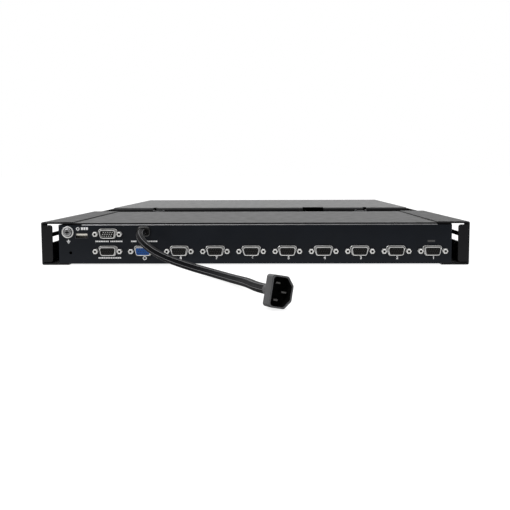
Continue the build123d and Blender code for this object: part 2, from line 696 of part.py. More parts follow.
def hinge_brackets():
    """Two fork brackets that stand on the tray's floor behind the screen."""
    floor = TRAY_FLOOR + SHEET_T
    brackets = []
    for side in (-1, 1):
        cx = side * HINGE_X
        bracket = block(cx - 10, cx + 10, 4, 27, floor, floor + 2)
        for dx in (-7.0, 7.0):
            ear = block(cx + dx - 1.2, cx + dx + 1.2, HINGE_Y - 5.6, HINGE_Y + 5.6, floor, HINGE_Z)
            ear += rod(5.6, (cx + dx - 1.2, HINGE_Y, HINGE_Z), (cx + dx + 1.2, HINGE_Y, HINGE_Z))
            bracket += ear
        bracket -= rod(HINGE_PIN_R + 0.05, (cx - 12, HINGE_Y, HINGE_Z), (cx + 12, HINGE_Y, HINGE_Z))
        brackets.append(bracket)
    return group(brackets)


def cable_clamp():
    """A bridge on the tray that holds the screen's cable where it leaves the lid."""
    floor = TRAY_FLOOR + SHEET_T
    clamp = block(-94, -63, 9, 25, floor, 26)
    clamp -= block(-89, -68, 8, 26, floor - 1, 18)
    return clamp


# ---- lid with the screen ------------------------------------------------------------------------
def lid_back_cover():
    """A shallow sheet cover with rounded edges, slots for the hinge arms and notches for the
    hinges' outer ears and for the screen's cable."""
    front = -HALF_DEPTH
    cover = block(-LID_HALF, LID_HALF, front, LID_REAR_Y, LID_SPLIT, LID_TOP)
    top_edges = cover.faces().sort_by(Axis.Z)[-1].edges()
    cover = fillet([e for e in top_edges if e.center().Y > LID_REAR_Y - 0.1], LID_REAR_RADIUS)
    top_edges = cover.faces().sort_by(Axis.Z)[-1].edges()
    cover = chamfer([e for e in top_edges if e.center().Y < LID_REAR_Y - 6], 1.0)
    t = SHEET_T
    inside = block(-LID_HALF + t, LID_HALF - t, front + t, LID_REAR_Y - t, LID_SPLIT - 1, LID_TOP - t)
    inner_top = inside.faces().sort_by(Axis.Z)[-1].edges()
    inside = fillet([e for e in inner_top if e.center().Y > 0], LID_REAR_RADIUS - 0.8)
    cover -= inside
    notch_y = LID_REAR_Y - LID_NOTCH_DEPTH
    for side in (-1, 1):
        cover -= block(side * HINGE_X - 5.2, side * HINGE_X + 5.2, -3, LID_REAR_Y + 1, LID_SPLIT - 1, 36.6)
        near, far = side * (HINGE_X + 4.6), side * (HINGE_X + 9.4)
        cover -= block(min(near, far), max(near, far), notch_y, LID_REAR_Y + 1, LID_SPLIT - 1, LID_TOP + 1)
    low, high = LID_CABLE_NOTCH
    return cover - block(low, high, notch_y, LID_REAR_Y + 1, LID_SPLIT - 1, LID_TOP + 1)


def lid_bezel():
    """The moulded frame around the screen, with button openings along its free edge."""
    front = -HALF_DEPTH
    plate_top = LID_BOTTOM + 2.0
    bezel = block(-LID_HALF, LID_HALF, front, LID_REAR_Y, LID_BOTTOM, LID_SPLIT)
    bezel -= block(-LID_HALF + 3, LID_HALF - 3, front + 3, LID_REAR_Y - 3, plate_top, LID_SPLIT + 1)
    w, d = SCREEN_W / 2 + 2, SCREEN_D / 2 + 2
    bezel -= block(-w, w, SCREEN_Y - d, SCREEN_Y + d, LID_BOTTOM - 1, LID_SPLIT)
    for x in OSD_BUTTON_X:
        bezel -= block(
            x - 5.3, x + 5.3, OSD_BUTTON_Y - 2.8, OSD_BUTTON_Y + 2.8, LID_BOTTOM - 1, plate_top + 1
        )
    return bezel


def lcd_panel():
    """The screen module, lying on the bezel's plate."""
    w, d = SCREEN_MODULE_W / 2, SCREEN_MODULE_D / 2
    z0 = LID_BOTTOM + 2.0
    return block(-w, w, SCREEN_Y - d, SCREEN_Y + d, z0, z0 + 8.0)


def lcd_driver_board():
    """The screen's driver board with its two largest parts."""
    z0 = LID_BOTTOM + 10.0
    driver = block(-70, 70, -150, -60, z0, z0 + BOARD_T)
    driver += block(-20, 10, -120, -90, z0 + BOARD_T, z0 + 3.4)
    driver += block(30, 55, -110, -90, z0 + BOARD_T, z0 + 4.2)
    return driver


def osd_button(x):
    """A menu button under the lid, kept in by a flange behind the bezel."""
    plate_top = LID_BOTTOM + 2.0
    cap = block(x - 5, x + 5, OSD_BUTTON_Y - 2.5, OSD_BUTTON_Y + 2.5, LID_BOTTOM - 0.7, plate_top + 0.4)
    cap = fillet(cap.faces().sort_by(Axis.Z)[0].edges(), 0.4)
    flange = block(
        x - 6.2, x + 6.2, OSD_BUTTON_Y - 3.6, OSD_BUTTON_Y + 3.6, plate_top + 0.3, plate_top + 1.2
    )
    return cap + flange


def lid_hinge_arms():
    """Two steel arms: a knuckle around the pin and a blade inside the lid."""
    arms = []
    for side in (-1, 1):
        cx = side * HINGE_X
        arm = rod(4.6, (cx - 4.8, HINGE_Y, HINGE_Z), (cx + 4.8, HINGE_Y, HINGE_Z))
        arm += block(cx - 4.8, cx + 4.8, -15, HINGE_Y, LID_SPLIT + 0.1, LID_SPLIT + 3.4)
        arm -= rod(HINGE_PIN_R, (cx - 6, HINGE_Y, HINGE_Z), (cx + 6, HINGE_Y, HINGE_Z))
        arms.append(arm)
    return group(arms)


def hinge_pins():
    """Two pins, tight in the arms and free in the brackets."""
    pins = []
    for side in (-1, 1):
        cx = side * HINGE_X
        pins.append(rod(HINGE_PIN_R, (cx - 9.2, HINGE_Y, HINGE_Z), (cx + 9.2, HINGE_Y, HINGE_Z)))
    return group(pins)


def lid_bumpers():
    """Rubber stops under the lid's free edge."""
    feet = []
    for x in (-200, 200):
        feet.append(rod(3.5, (x, -338.5, HANDLE_TOP + 0.3), (x, -338.5, LID_BOTTOM)))
    return group(feet)


# ---- write the sub-parts ------------------------------------------------------------------------
def sub_parts():
    plug_body, plug_pins = plug_parts()
    place = plug_place()
    parts = {
        "left_side_rail": side_rail(),
        "right_side_rail": other_side(side_rail()),
        "front_tie_bar": front_tie_bar(),
        "recess_floor": recess_floor(),
        "left_outer_slide": outer_slide(),
        "right_outer_slide": other_side(outer_slide()),
        "module_base_pan": module_base_pan(),
        "rear_panel": rear_panel(),
        "module_top_cover": module_top_cover(),
        "cover_screws": cover_screws(),
        "port_shells": group([d_shell(x, z) for x, z in all_d_places()]),
        "console_port_inserts": group([female_insert(x, z) for x, z in port_places()]),
        "chain_out_insert": female_insert(CHAIN_X, PORT_ROW_Z),
        "chain_in_insert": male_insert(CHAIN_X, UPPER_ROW_Z),
        "monitor_port_insert": female_insert(MONITOR_X, PORT_ROW_Z),
        "port_jackscrews": port_jackscrews(),
        "usb_port_shell": usb_port_shell(),
        "usb_port_tongue": usb_port_tongue(),
        "ground_screw": ground_screw(),
        "main_board": main_board(),
        "chain_board": chain_board(),
        "power_supply_board": power_supply_board(),
        "board_components": board_components(),
        "board_standoffs": board_standoffs(),
        "cord_bushing": cord_bushing(),
        "power_cord": power_cord(),
        "plug_body": place * plug_body,
        "plug_pins": place * plug_pins,
        "left_middle_slide": middle_slide(),
        "right_middle_slide": other_side(middle_slide()),
        "left_inner_slide": inner_slide(),
        "right_inner_slide": other_side(inner_slide()),
        "keyboard_tray": keyboard_tray(),
        "keyboard_deck": keyboard_deck(),
        "keyboard_base": keyboard_base(),
        "touchpad": touchpad(),
        "touchpad_left_button": touchpad_button(-1),
        "touchpad_right_button": touchpad_button(1),
        "front_handle": front_handle(),
        "left_release_button": release_button(-1),
        "right_release_button": release_button(1),
        "hinge_brackets": hinge_brackets(),
        "cable_clamp": cable_clamp(),
        "lid_back_cover": lid_back_cover(),
        "lid_bezel": lid_bezel(),
        "lcd_panel": lcd_panel(),
        "lcd_driver_board": lcd_driver_board(),
        "lid_hinge_arms": lid_hinge_arms(),
        "hinge_pins": hinge_pins(),
        "lid_bumpers": lid_bumpers(),
    }
    for row in range(len(key_rows())):
        parts[f"key_row_{row + 1}"] = key_row(row)
    for i, x in enumerate(OSD_BUTTON_X[:-1]):
        parts[f"menu_button_{i + 1}"] = osd_button(x)
    parts["screen_power_button"] = osd_button(OSD_BUTTON_X[-1])
    return parts


os.makedirs("parts", exist_ok=True)
for name, shape in sub_parts().items():
    export_step(shape, f"parts/{name}.step")
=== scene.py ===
import json
import math

import bmesh
import bpy
from mathutils import Matrix, Vector


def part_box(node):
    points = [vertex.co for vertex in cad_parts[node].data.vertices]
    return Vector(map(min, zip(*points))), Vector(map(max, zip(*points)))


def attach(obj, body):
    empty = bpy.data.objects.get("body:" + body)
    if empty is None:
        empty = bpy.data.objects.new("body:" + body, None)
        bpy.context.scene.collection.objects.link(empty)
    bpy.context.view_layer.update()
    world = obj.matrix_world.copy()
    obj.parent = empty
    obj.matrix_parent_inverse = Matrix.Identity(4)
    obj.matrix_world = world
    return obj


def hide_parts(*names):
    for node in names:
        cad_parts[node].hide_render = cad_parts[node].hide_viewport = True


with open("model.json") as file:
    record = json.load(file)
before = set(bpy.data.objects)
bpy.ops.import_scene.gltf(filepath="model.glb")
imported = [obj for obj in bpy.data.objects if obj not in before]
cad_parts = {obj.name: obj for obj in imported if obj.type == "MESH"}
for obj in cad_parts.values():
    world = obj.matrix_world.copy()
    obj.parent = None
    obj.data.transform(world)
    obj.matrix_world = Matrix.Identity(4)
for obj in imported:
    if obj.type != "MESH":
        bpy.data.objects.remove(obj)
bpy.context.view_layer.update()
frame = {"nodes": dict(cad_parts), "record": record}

# Looks of the rack console drawer with its KVM module. Lengths are named in millimetres and turned
# into metres by MM. +Y is the port side, +X the left of the picture seen from there, +Z up.

MM = 0.001
NODES = frame["nodes"]
RECORD = frame["record"]
MOUNTS = {mount["name"]: Vector(mount["pos_m"]) for mount in RECORD["mounts"]}
PANEL_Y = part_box("rear_panel")[1].y
PANEL = PANEL_Y / MM  # the port panel's outer face, in millimetres


# ---- camera -------------------------------------------------------------------------------------
CAMERA_PLACE = Vector((-18.56, 1128.49, 92.67)) * MM
CAMERA_YAW, CAMERA_PITCH, CAMERA_ROLL = 1.287, 5.958, -0.199  # degrees; pitch is downwards
CAMERA_LENS, SENSOR_WIDTH = 54.526, 36.0


def make_camera():
    """The photograph's viewpoint: behind the ports, a little above them."""
    yaw, pitch, roll = (math.radians(a) for a in (CAMERA_YAW, CAMERA_PITCH, CAMERA_ROLL))
    ahead = Vector((math.sin(yaw) * math.cos(pitch), -math.cos(yaw) * math.cos(pitch), -math.sin(pitch)))
    right = ahead.cross(Vector((0, 0, 1))).normalized()
    up = right.cross(ahead)
    right, up = (
        math.cos(roll) * right + math.sin(roll) * up,
        math.cos(roll) * up - math.sin(roll) * right,
    )
    data = bpy.data.cameras.new("camera")
    data.lens, data.sensor_width = CAMERA_LENS, SENSOR_WIDTH
    data.clip_start, data.clip_end = 0.01, 100
    camera = bpy.data.objects.new("camera", data)
    turned = Matrix((right, up, -ahead)).transposed().to_4x4()
    camera.matrix_world = Matrix.Translation(CAMERA_PLACE) @ turned
    bpy.context.scene.collection.objects.link(camera)
    bpy.context.scene.camera = camera


make_camera()


# ---- materials ----------------------------------------------------------------------------------
WAVE_BANDS = 20 / (2 * math.pi)  # to the unit, of a wave texture whose scale is 1
TONE_PATCH, GLOSS_PATCH = 38 * MM, 11 * MM  # how large the slow changes of paint and plastic are
STREAK_WIDTH, STREAK_TONES = 0.9 * MM, (0.86, 1.08)  # of metal, and how much darker and lighter they are


class Finish:
    """A procedural material. Its noises use object coordinates, so their sizes are real ones."""

    def __init__(self, name, color, roughness, metallic=0.0, specular=0.5, coat=0.0, coat_roughness=0.2):
        self.material = bpy.data.materials.new(name)
        self.material.use_nodes = True
        self.tree = self.material.node_tree
        self.shader = self.tree.nodes["Principled BSDF"]
        inputs = self.shader.inputs
        inputs["Base Color"].default_value = (*color, 1)
        inputs["Roughness"].default_value = roughness
        inputs["Metallic"].default_value = metallic
        inputs["Specular IOR Level"].default_value = specular
        inputs["Coat Weight"].default_value = coat
        inputs["Coat Roughness"].default_value = coat_roughness
        self.last_bump = None

    def node(self, kind, **values):
        made = self.tree.nodes.new(kind)
        for key, value in values.items():
            setattr(made, key, value)
        return made

    def link(self, out, into):
        self.tree.links.new(out, into)

    def noise(self, size, detail=3.0, stretch=(1, 1, 1)):
        """A noise whose features are about size across, in metres."""
        place = self.node("ShaderNodeTexCoord")
        mapping = self.node("ShaderNodeMapping")
        mapping.inputs["Scale"].default_value = stretch
        texture = self.node("ShaderNodeTexNoise")
        texture.inputs["Scale"].default_value = 1 / size
        texture.inputs["Detail"].default_value = detail
        self.link(place.outputs["Object"], mapping.inputs["Vector"])
        self.link(mapping.outputs["Vector"], texture.inputs["Vector"])
        return texture.outputs["Fac"]

    def lobes(self, count):
        """That many ridges running the length of a curve, from the coordinate around it."""
        place = self.node("ShaderNodeTexCoord")
        waves = self.node("ShaderNodeTexWave", bands_direction="Y")
        waves.inputs["Scale"].default_value = count / WAVE_BANDS
        waves.inputs["Distortion"].default_value = 0.0
        self.link(place.outputs["UV"], waves.inputs["Vector"])
        return waves.outputs["Fac"]

    def color_from(self, factor, dark, light, low=0.35, high=0.65):
        ramp = self.node("ShaderNodeValToRGB")
        ramp.color_ramp.elements[0].position, ramp.color_ramp.elements[1].position = low, high
        ramp.color_ramp.elements[0].color, ramp.color_ramp.elements[1].color = (*dark, 1), (*light, 1)
        self.link(factor, ramp.inputs["Fac"])
        self.link(ramp.outputs["Color"], self.shader.inputs["Base Color"])
        return self

    def roughness_from(self, factor, low, high):
        ranged = self.node("ShaderNodeMapRange")
        ranged.inputs["From Min"].default_value, ranged.inputs["From Max"].default_value = 0.3, 0.7
        ranged.inputs["To Min"].default_value, ranged.inputs["To Max"].default_value = low, high
        self.link(factor, ranged.inputs["Value"])
        self.link(ranged.outputs["Result"], self.shader.inputs["Roughness"])
        return self

    def bump_from(self, height, depth, strength=1.0):
        """Relief of that depth in metres; several are added one after another."""
        bump = self.node("ShaderNodeBump")
        bump.inputs["Strength"].default_value = strength
        bump.inputs["Distance"].default_value = depth
        self.link(height, bump.inputs["Height"])
        if self.last_bump is not None:
            self.link(self.last_bump.outputs["Normal"], bump.inputs["Normal"])
        self.link(bump.outputs["Normal"], self.shader.inputs["Normal"])
        self.last_bump = bump
        return self


def speckled(name, color, spread, roughness, grain_size, grain_depth, **values):
    """Paint or moulded plastic: a fine grain, slightly uneven tone and uneven gloss."""
    finish = Finish(name, color, roughness, **values)
    dark = [c * (1 - spread) for c in color]
    light = [c * (1 + spread) for c in color]
    finish.color_from(finish.noise(TONE_PATCH, 4), dark, light)
    finish.roughness_from(finish.noise(GLOSS_PATCH, 5), roughness - 0.04, roughness + 0.05)
    finish.bump_from(finish.noise(grain_size, 2), grain_depth)
    return finish


def metal(name, color, roughness, streak=(1, 1, 1), streak_depth=0.004 * MM, metallic=1.0):
    """Bare or plated metal with fine streaks, long on the axis where stretch is small."""
    finish = Finish(name, color, roughness, metallic=metallic)
    streaks = finish.noise(STREAK_WIDTH, 4, streak)
    dark, light = ([min(1.0, c * tone) for c in color] for tone in STREAK_TONES)
    finish.color_from(streaks, dark, light)
    finish.roughness_from(finish.noise(4 * MM, 4), roughness - 0.07, roughness + 0.08)
    finish.bump_from(streaks, streak_depth)
    return finish


def make_finishes():
    """One material for each of the record's material slots, and finer ones for single pieces."""
    coat = dict(grain_size=0.9 * MM, grain_depth=0.012 * MM)
    moulded = dict(grain_size=0.35 * MM, grain_depth=0.012 * MM)
    made = {
        "powder_coat": speckled("powder_coat", (0.012, 0.012, 0.013), 0.12, 0.40, specular=0.36, **coat),
        "lid_coat": speckled("lid_coat", (0.013, 0.013, 0.014), 0.12, 0.37, specular=0.24, **coat),
        "cover_coat": speckled("cover_coat", (0.010, 0.010, 0.011), 0.12, 0.44, specular=0.20, **coat),
        "rail_coat": speckled("rail_coat", (0.010, 0.010, 0.011), 0.15, 0.46, specular=0.16, **coat),
        "panel_paint": speckled("panel_paint", (0.0035, 0.0055, 0.0095), 0.15, 0.40, specular=0.24, **coat),
        "slide_steel": metal("slide_steel", (0.55, 0.55, 0.56), 0.34, (1, 0.06, 1)),
        "black_screw": speckled("black_screw", (0.01, 0.01, 0.01), 0.2, 0.36, 0.3 * MM, 0.006 * MM),
        "nickel_shell": metal("nickel_shell", (0.97, 0.96, 0.94), 0.18, (0.15, 1, 1), metallic=0.25),
        "nickel_screw": metal("nickel_screw", (0.93, 0.92, 0.90), 0.20, (1, 0.3, 1), metallic=0.5),
        "insert_black": speckled("insert_black", (0.006, 0.006, 0.006), 0.2, 0.5, specular=0.2, **moulded),
        "insert_blue": speckled("insert_blue", (0.010, 0.080, 0.31), 0.12, 0.46, specular=0.3, **moulded),
        "tongue_ivory": speckled("tongue_ivory", (0.86, 0.83, 0.74), 0.06, 0.45, **moulded),
        "bushing_nylon": speckled(
            "bushing_nylon", (0.004, 0.004, 0.004), 0.2, 0.12, specular=0.7, coat=0.4, **moulded
        ),
        "plug_vinyl": speckled("plug_vinyl", (0.050, 0.050, 0.052), 0.2, 0.42, **moulded),
        "plug_blade": metal("plug_blade", (0.24, 0.235, 0.23), 0.3, (1, 0.1, 1)),
        "deck_plastic": speckled("deck_plastic", (0.020, 0.020, 0.021), 0.10, 0.48, **moulded),
        "touch_surface": speckled("touch_surface", (0.050, 0.050, 0.053), 0.08, 0.58, **moulded),
        "keycap": speckled("keycap", (0.014, 0.014, 0.015), 0.15, 0.5, **moulded),
        "bezel_plastic": speckled("bezel_plastic", (0.016, 0.016, 0.017), 0.10, 0.46, **moulded),
        "rubber_stop": speckled("rubber_stop", (0.012, 0.012, 0.012), 0.25, 0.72, **moulded),
        "cord_jacket": speckled("cord_jacket", (0.006, 0.006, 0.007), 0.15, 0.46, specular=0.06, **moulded),
        # painted shade: the USB shell is a darkened copy of plated steel
        "usb_steel_painted_shade": metal("usb_steel_painted_shade", (0.13, 0.13, 0.14), 0.34, (0.15, 1, 1)),
        "dark_steel": metal("dark_steel", (0.035, 0.035, 0.037), 0.36, (1, 0.2, 1)),
        "screw_steel": metal("screw_steel", (0.40, 0.40, 0.41), 0.26, (1, 0.3, 1)),
        # painted highlight: lighter grey for the plug's rim, which is the plug's own dark vinyl
        "rim_vinyl_painted_highlight": speckled("rim_vinyl_painted_highlight", (0.15, 0.15, 0.155), 0.15, 0.38, **moulded),
        # painted shade: dark brown contacts stand for metal ones in the shade of their holes
        "contact_painted_shade": speckled("contact_painted_shade", (0.022, 0.019, 0.016), 0.3, 0.4, specular=0.3, **moulded),
        "zinc": metal("zinc", (0.80, 0.80, 0.79), 0.42, (1, 0.3, 1), metallic=0.45),
        # near black: painted shade in bores, gaps and recesses, and the screen's own black border
        "black_and_painted_shade": speckled("black_and_painted_shade", (0.004, 0.004, 0.004), 0.3, 0.7, specular=0.1, **moulded),
    }
    cord = made["cord_jacket"]
    ridges_and_highlight_lines = cord.lobes(6)
    # painted highlights: thin light lines on the crests of the jacket's ridges stand for its gloss
    cord.color_from(ridges_and_highlight_lines, (0.004, 0.004, 0.005), (0.30, 0.30, 0.31), 0.97, 1.0)
    cord.bump_from(ridges_and_highlight_lines, 0.4 * MM)
    board = Finish("circuit_board", (0.01, 0.10, 0.035), 0.35, specular=0.5)
    tracks = board.noise(3 * MM, 1, (1, 0.12, 1))
    board.color_from(tracks, (0.008, 0.085, 0.03), (0.016, 0.15, 0.055), 0.47, 0.53)
    board.bump_from(tracks, 0.03 * MM)
    component = Finish("component", (0.02, 0.02, 0.022), 0.45)
    component.color_from(component.noise(60 * MM, 0), (0.012, 0.012, 0.013), (0.09, 0.08, 0.07))
    component.bump_from(component.noise(0.5 * MM), 0.01 * MM)
    screen = Finish("screen", (0.004, 0.0045, 0.006), 0.13, specular=0.22)
    screen.roughness_from(screen.noise(0.25 * MM, 1), 0.10, 0.17)
    screen.color_from(screen.noise(90 * MM, 2), (0.0035, 0.004, 0.0055), (0.006, 0.0065, 0.008))
    screen.bump_from(screen.noise(0.2 * MM, 1), 0.002 * MM)
    ink = Finish("white_ink", (0.9, 0.9, 0.9), 0.6)
    ink.color_from(ink.noise(0.5 * MM, 3), (0.74, 0.74, 0.75), (0.98, 0.98, 0.98))
    ink.bump_from(ink.noise(0.3 * MM), 0.01 * MM)
    faint = Finish("faint_ink", (0.07, 0.07, 0.07), 0.6)
    faint.color_from(faint.noise(0.5 * MM, 3), (0.035, 0.035, 0.035), (0.10, 0.10, 0.10))
    # painted highlight: lighter metal on the panel's top bend, which is black paint like the rest of the
    # panel
    bend = metal("bare_bend", (0.30, 0.30, 0.31), 0.34, (0.05, 1, 1))
    made.update(circuit_board=board, component=component, screen=screen)
    made.update(white_ink=ink, faint_ink=faint, bare_bend=bend)
    return {name: finish.material for name, finish in made.items()}


FINISHES = make_finishes()


def paint(obj, finish):
    obj.data.materials.clear()
    obj.data.materials.append(FINISHES[finish])


# ---- pieces -------------------------------------------------------------------------------------
def soften(obj, width, segments=2, angle=35):
    """Rounds the sharp edges a little, so that they catch the light."""
    bevel = obj.modifiers.new("soft_edges", "BEVEL")
    bevel.width, bevel.segments = width, segments
    bevel.limit_method, bevel.angle_limit = "ANGLE", math.radians(angle)
    bevel.use_clamp_overlap = True
    bevel.harden_normals = True


def add_piece(name, mesh, body, finish):
    """A new piece of the object, in the frame's own coordinates."""
    obj = bpy.data.objects.new(name, mesh)
    bpy.context.scene.collection.objects.link(obj)
    paint(obj, finish)
    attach(obj, body)
    return obj


def mesh_of(name, build):
    """A mesh filled by build(bm)."""
    bm = bmesh.new()
    build(bm)
    bmesh.ops.recalc_face_normals(bm, faces=bm.faces)
    mesh = bpy.data.meshes.new(name)
    bm.to_mesh(mesh)
    bm.free()
    return mesh


def add_box(bm, low, high):
    """A block between two corners, in metres."""
    low, high = Vector(low), Vector(high)
    place = Matrix.Translation((low + high) / 2) @ Matrix.Diagonal((*(high - low), 1))
    bmesh.ops.create_cube(bm, size=1, matrix=place)


# ---- CAD nodes ----------------------------------------------------------------------------------
OWN_FINISHES = {
    "lid_back_cover": "lid_coat",
    "module_top_cover": "cover_coat",
    "left_side_rail": "rail_coat",
    "right_side_rail": "rail_coat",
    # the USB shell's darker steel is painted shade
    "usb_port_shell": "usb_steel_painted_shade",
    "hinge_brackets": "dark_steel",
    "lid_hinge_arms": "dark_steel",
    "hinge_pins": "dark_steel",
    "ground_screw": "screw_steel",
}


def paint_nodes():
    """Every CAD node takes its slot's finish or one of its own, and the edges most seen are softened."""
    for part in RECORD["subparts"]:
        paint(NODES[part["node"]], OWN_FINISHES.get(part["node"], part["material_slot"]))
    for names, width in (
        (("left_side_rail", "right_side_rail", "module_top_cover", "lid_back_cover"), 0.35 * MM),
        (("front_handle", "lid_bezel", "keyboard_deck"), 0.4 * MM),
        (("plug_body",), 0.5 * MM),
        (("port_shells",), 0.18 * MM),
        (("cord_bushing",), 0.7 * MM),
        (tuple(f"key_row_{i}" for i in range(1, 7)), 0.6 * MM),
    ):
        for name in names:
            soften(NODES[name], width)


paint_nodes()


# ---- details of the sockets ---------------------------------------------------------------------
CONTACT_PITCH, CONTACT_ROWS, CONTACT_STAGGER = 2.29, 1.98, 0.76  # of a fifteen-contact D socket
JACKSCREW_SPACING = 24.99
RIM_SIZE, RIM_STEP = (19.7, 10.4, 2.7), (0.55, 0.37, 0.15)  # width, height and corner, and each band's step
RIM_OUT = ((0.02, 0.45), (0.45, 0.55), (0.55, 0.1))  # how far its bands stand out of the panel
RIM_RISE = 0.3  # how far the pressed rims stand above the middle of their sockets
GAP_EDGES = ((19.2, 12.1, 2.6), (18.9, 9.7, 2.4))  # outer and inner outline of the painted shadow in the gap round a rim
GAP_OUT = 0.03
STEP_EDGES = ((18.05, 9.29, 2.25), (17.3, 8.7, 2.2))  # and of the painted shade on the step inside it
STEP_OUT = (0.1, 0.04)
MOUTH_RADIUS, MOUTH_OUT = 1.22, (0.9, 5.1)  # a jackscrew's thread, from the panel outwards
CONTACT_RADIUS, CONTACT_IN = 0.5, (1.6, 0.35)  # a spring contact, from its socket's face inwards
PIN_RADIUS, PIN_OUT = 0.47, (2.9, 3.7)
HEAD_RADIUS, HEAD_GAP = 4.75, 0.55  # the earth screw's head and the painted shade line on its edge
WASHER_BANDS = ((6.15, 5.6, 2.45, 2.2), (5.6, HEAD_RADIUS, 2.2, 2.3))  # two radii, two depths behind the head
RECESS_ARM, RECESS_WIDTH, RECESS_DEPTH = 4.4, 1.0, 1.3


def add_rod(bm, x, z, radius, y0, y1, steps=10):
    """A round bar along Y, in millimetres."""
    place = Matrix.Translation(Vector((x, (y0 + y1) / 2, z)) * MM) @ Matrix.Rotation(math.pi / 2, 4, "X")
    bmesh.ops.create_cone(
        bm, cap_ends=True, segments=steps, radius1=radius * MM, radius2=radius * MM,
        depth=abs(y1 - y0) * MM, matrix=place,
    )


def middle(node):
    """The middle of a CAD node, in millimetres."""
    low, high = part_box(node)
    return (low + high) / 2 / MM


def contact_places(x, z):
    """Three staggered rows of five contacts of a D socket."""
    return [
        (x + (i - 2) * CONTACT_PITCH + (row - 1) * CONTACT_STAGGER, z + (1 - row) * CONTACT_ROWS)
        for row in range(3)
        for i in range(5)
    ]


SOCKETS = [(MOUNTS[f"port_{i}_screws"].x / MM, MOUNTS[f"port_{i}_screws"].z / MM) for i in range(1, 9)]
FEMALE = SOCKETS + [(middle(node).x, middle(node).z) for node in ("chain_out_insert", "monitor_port_insert")]
MALE = (middle("chain_in_insert").x, middle("chain_in_insert").z)
FACE_Y = PANEL + 4.0  # the moulded faces of the female sockets


def build_bores(bm):
    """Painted shade: near-black rods in the threaded mouths of the jackscrews."""
    for x, z in FEMALE + [MALE]:
        for side in (-1, 1):
            centre = x + side * JACKSCREW_SPACING / 2
            add_rod(bm, centre, z, MOUTH_RADIUS, PANEL + MOUTH_OUT[0], PANEL + MOUTH_OUT[1], 12)


def build_contacts(bm):
    """The ends of the spring contacts, just inside the holes of the female sockets, darkened as painted
    shade.
    """
    for x, z in FEMALE:
        for cx, cz in contact_places(x, z):
            add_rod(bm, cx, cz, CONTACT_RADIUS, FACE_Y - CONTACT_IN[0], FACE_Y - CONTACT_IN[1], 8)


def build_pins(bm):
    """The bright ends of the male socket's pins."""
    for cx, cz in contact_places(*MALE):
        add_rod(bm, cx, cz, PIN_RADIUS, PANEL + PIN_OUT[0], PANEL + PIN_OUT[1])


def d_loop(width, height, radius, steps=4):
    """Points (x, z) round a D outline seen from the port side: wide at the top, leaning in below."""
    lean = height * math.tan(math.radians(10))
    corners = [
        (width / 2 - radius, height / 2 - radius, 0),
        (-width / 2 + radius, height / 2 - radius, 90),
        (-width / 2 + lean + radius, -height / 2 + radius, 180),
        (width / 2 - lean - radius, -height / 2 + radius, 270),
    ]
    loop = []
    for cx, cz, start in corners:
        for i in range(steps + 1):
            angle = math.radians(start + 90 * i / steps)
            loop.append((cx + radius * math.cos(angle), cz + radius * math.sin(angle)))
    return loop


def add_band(bm, x, z, outer, inner, y_outer, y_inner):
    """A closed band between two loops of points, each at its own depth, in millimetres."""
    rings = []
    for loop, y in ((outer, y_outer), (inner, y_inner)):
        rings.append([bm.verts.new(Vector((x + px, y, z + pz)) * MM) for px, pz in loop])
    count = len(outer)
    for i in range(count):
        j = (i + 1) % count
        bm.faces.new((rings[0][i], rings[0][j], rings[1][j], rings[1][i]))


def build_collars(bm):
    """The pressed rim around each D shell, rounded from the panel up to its crest."""
    loops = [d_loop(*(size - i * step for size, step in zip(RIM_SIZE, RIM_STEP))) for i in range(4)]
    for x, z in FEMALE + [MALE]:
        for i, (y0, y1) in enumerate(RIM_OUT):
            add_band(bm, x, z + RIM_RISE, loops[i], loops[i + 1], PANEL + y0, PANEL + y1)


def build_collar_shade(bm):
    """Painted shade: near-black bands on the step between each rim and its shell, and in the gap round the
    rim.
    """
    gap, step = ([d_loop(*edge) for edge in edges] for edges in (GAP_EDGES, STEP_EDGES))
    for x, z in FEMALE + [MALE]:
        add_band(bm, x, z + RIM_RISE, *gap, PANEL + GAP_OUT, PANEL + GAP_OUT)
        add_band(bm, x, z + RIM_RISE, *step, PANEL + STEP_OUT[0], PANEL + STEP_OUT[1])


def circle_loop(radius, steps=36):
    """Points (x, z) round a circle."""
    angles = [2 * math.pi * i / steps for i in range(steps)]
    return [(radius * math.cos(angle), radius * math.sin(angle)) for angle in angles]


def build_earth_rim(bm):
    """The washer's dished face."""
    centre, front = middle("ground_screw"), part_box("ground_screw")[1].y / MM
    for r0, r1, y0, y1 in WASHER_BANDS:
        add_band(bm, centre.x, centre.z, circle_loop(r0), circle_loop(r1), front - y0, front - y1)


def build_earth_gap(bm):
    """Painted shade: a near-black line round the head, and near black at the bottom of its cross recess."""
    centre, front = middle("ground_screw"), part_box("ground_screw")[1].y / MM
    edges = circle_loop(HEAD_RADIUS), circle_loop(HEAD_RADIUS - HEAD_GAP)
    add_band(bm, centre.x, centre.z, *edges, front - 2.3, front - 2.34)
    for w, h in ((RECESS_ARM, RECESS_WIDTH), (RECESS_WIDTH, RECESS_ARM)):
        low = Vector((centre.x - w / 2, front - RECESS_DEPTH, centre.z - h / 2)) * MM
        add_box(bm, low, low + Vector((w, 0.3, h)) * MM)


for piece_name, build_piece, piece_finish, piece_slot in (
    ("jackscrew_mouths", build_bores, "black_and_painted_shade", "black_screw"),
    ("socket_contacts", build_contacts, "contact_painted_shade", "nickel_screw"),
    ("chain_in_pins", build_pins, "nickel_screw", "nickel_screw"),
    ("socket_rims", build_collars, "nickel_shell", "nickel_shell"),
    ("socket_rim_painted_shade", build_collar_shade, "black_and_painted_shade", "panel_paint"),
    ("earth_washer_face", build_earth_rim, "zinc", "nickel_screw"),
    ("earth_screw_recess", build_earth_gap, "black_and_painted_shade", "nickel_screw"),
):
    add_piece(piece_name, mesh_of(piece_name, build_piece), "chassis", piece_finish)


